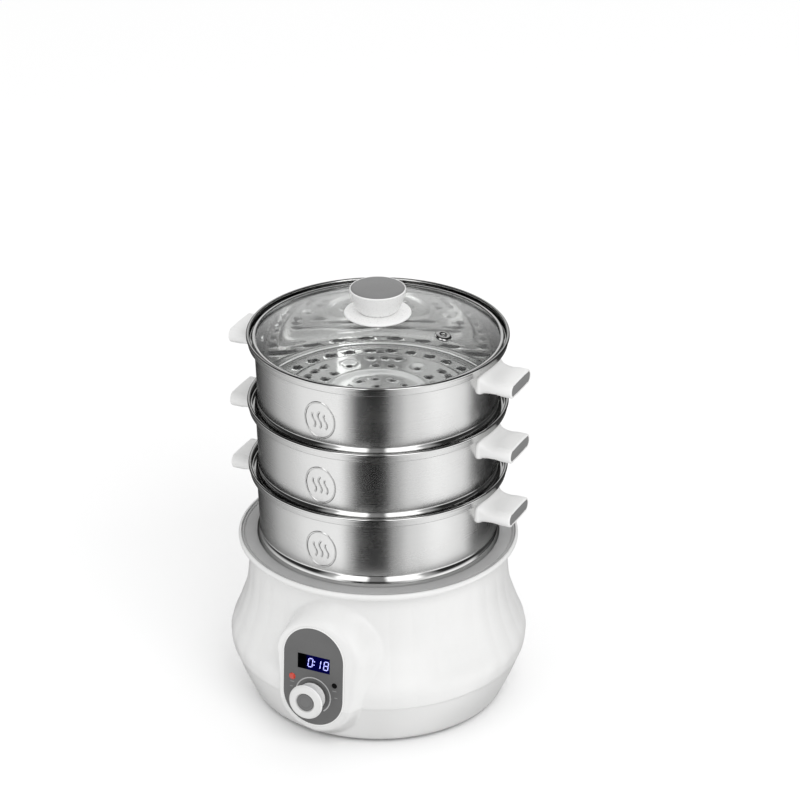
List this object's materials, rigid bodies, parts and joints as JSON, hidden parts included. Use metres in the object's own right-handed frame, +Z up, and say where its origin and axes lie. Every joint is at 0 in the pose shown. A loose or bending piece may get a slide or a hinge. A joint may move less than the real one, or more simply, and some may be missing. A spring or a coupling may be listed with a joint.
{
  "type": "electric food steamer",
  "caption": "Electric food steamer: round powered base with dial and display, stacked steel steaming trays with side handles, and a domed glass lid with a knob.",
  "frame": {"origin": "Centre of the footprint's bounding box, on the surface that the feet stand on; the trays' common axis is 9.8 mm behind it because the dial stands proud at the front.", "axes": "+Z up the stack, -Y towards the dial and display at the front, X along the tray handles."},
  "size_m": [0.296, 0.3104, 0.4279],
  "materials": {
    "white_plastic": "satin gloss moulding",
    "ring_plastic": "fine matt",
    "polished_steel": "polished",
    "tray_steel": "fine satin outside, bright inside",
    "silicone": "matt translucent",
    "aluminium": "cast, plain",
    "element_sheath": "oxidised",
    "plated_steel": "zinc plated",
    "fuse_sleeve": "woven sleeve",
    "foot_rubber": "matt",
    "panel_grey": "satin",
    "display_black": "gloss",
    "module_dark": "matt",
    "lamp_red": "clear dome",
    "lamp_dark": "clear dome",
    "circuit_board": "solder resist",
    "ivory_plastic": "moulded",
    "cap_grey": "satin",
    "clear_glass": "clear tempered"
  },
  "bodies": {
    "base": {"base_shell": "white_plastic", "support_ring": "ring_plastic", "water_pan": "polished_steel", "pan_seal": "silicone", "heating_plate": "aluminium", "heater_element": "element_sheath", "heater_bracket": "plated_steel", "thermostat": "aluminium", "thermal_fuse": "fuse_sleeve", "bottom_cover": "ring_plastic", "rubber_feet": "foot_rubber", "bottom_screws": "plated_steel", "panel_bezel": "white_plastic", "panel_fascia": "panel_grey", "display_window": "display_black", "display_module": "module_dark", "power_lamp": "lamp_red", "standby_lamp": "lamp_dark", "control_board": "circuit_board", "power_board": "circuit_board", "terminal_block": "ivory_plastic", "board_screws": "plated_steel", "encoder_body": "plated_steel", "encoder_nut": "plated_steel", "cord_gland": "foot_rubber"},
    "dial_plunger": {"encoder_plunger": "ivory_plastic"},
    "dial": {"encoder_shaft": "plated_steel", "dial_shell": "white_plastic", "dial_cap": "cap_grey"},
    "tray_1": {"tray_1_wall": "tray_steel", "tray_1_floor": "tray_steel", "tray_1_handle_left": "white_plastic", "tray_1_handle_right": "white_plastic", "tray_1_end_caps": "cap_grey", "tray_1_screws": "plated_steel", "steam_tube": "polished_steel"},
    "tray_2": {"tray_2_wall": "tray_steel", "tray_2_floor": "tray_steel", "tray_2_handle_left": "white_plastic", "tray_2_handle_right": "white_plastic", "tray_2_end_caps": "cap_grey", "tray_2_screws": "plated_steel"},
    "tray_3": {"tray_3_wall": "tray_steel", "tray_3_floor": "tray_steel", "tray_3_handle_left": "white_plastic", "tray_3_handle_right": "white_plastic", "tray_3_end_caps": "cap_grey", "tray_3_screws": "plated_steel"},
    "lid": {"lid_glass": "clear_glass", "lid_rim": "polished_steel", "lid_knob_base": "white_plastic", "lid_knob": "white_plastic", "lid_knob_cap": "cap_grey", "lid_knob_screw": "plated_steel", "lid_knob_washer": "silicone", "steam_vent": "polished_steel"}
  },
  "joints": [
    {"name": "dial_press", "type": "slide", "parent": "base", "child": "dial_plunger", "axis": [0, 0.9986, -0.0523], "range_m": [0, 0.0008], "stiffness_N_per_m": 900, "springref_m": -0.001},
    {"name": "dial_turn", "type": "hinge", "parent": "dial_plunger", "child": "dial", "pos_m": [0, -0.13656, 0.0593], "axis": [0, -0.9986, 0.0523], "continuous": true},
    {"name": "tray_1_lift", "type": "slide", "parent": "base", "child": "tray_1", "axis": [0, 0, 1], "range_m": [0, 0.02]},
    {"name": "tray_2_lift", "type": "slide", "parent": "tray_1", "child": "tray_2", "axis": [0, 0, 1], "range_m": [0, 0.05]},
    {"name": "tray_3_lift", "type": "slide", "parent": "tray_2", "child": "tray_3", "axis": [0, 0, 1], "range_m": [0, 0.044]},
    {"name": "lid_lift", "type": "slide", "parent": "tray_3", "child": "lid", "axis": [0, 0, 1], "range_m": [0, 0.1085]}
  ]
}
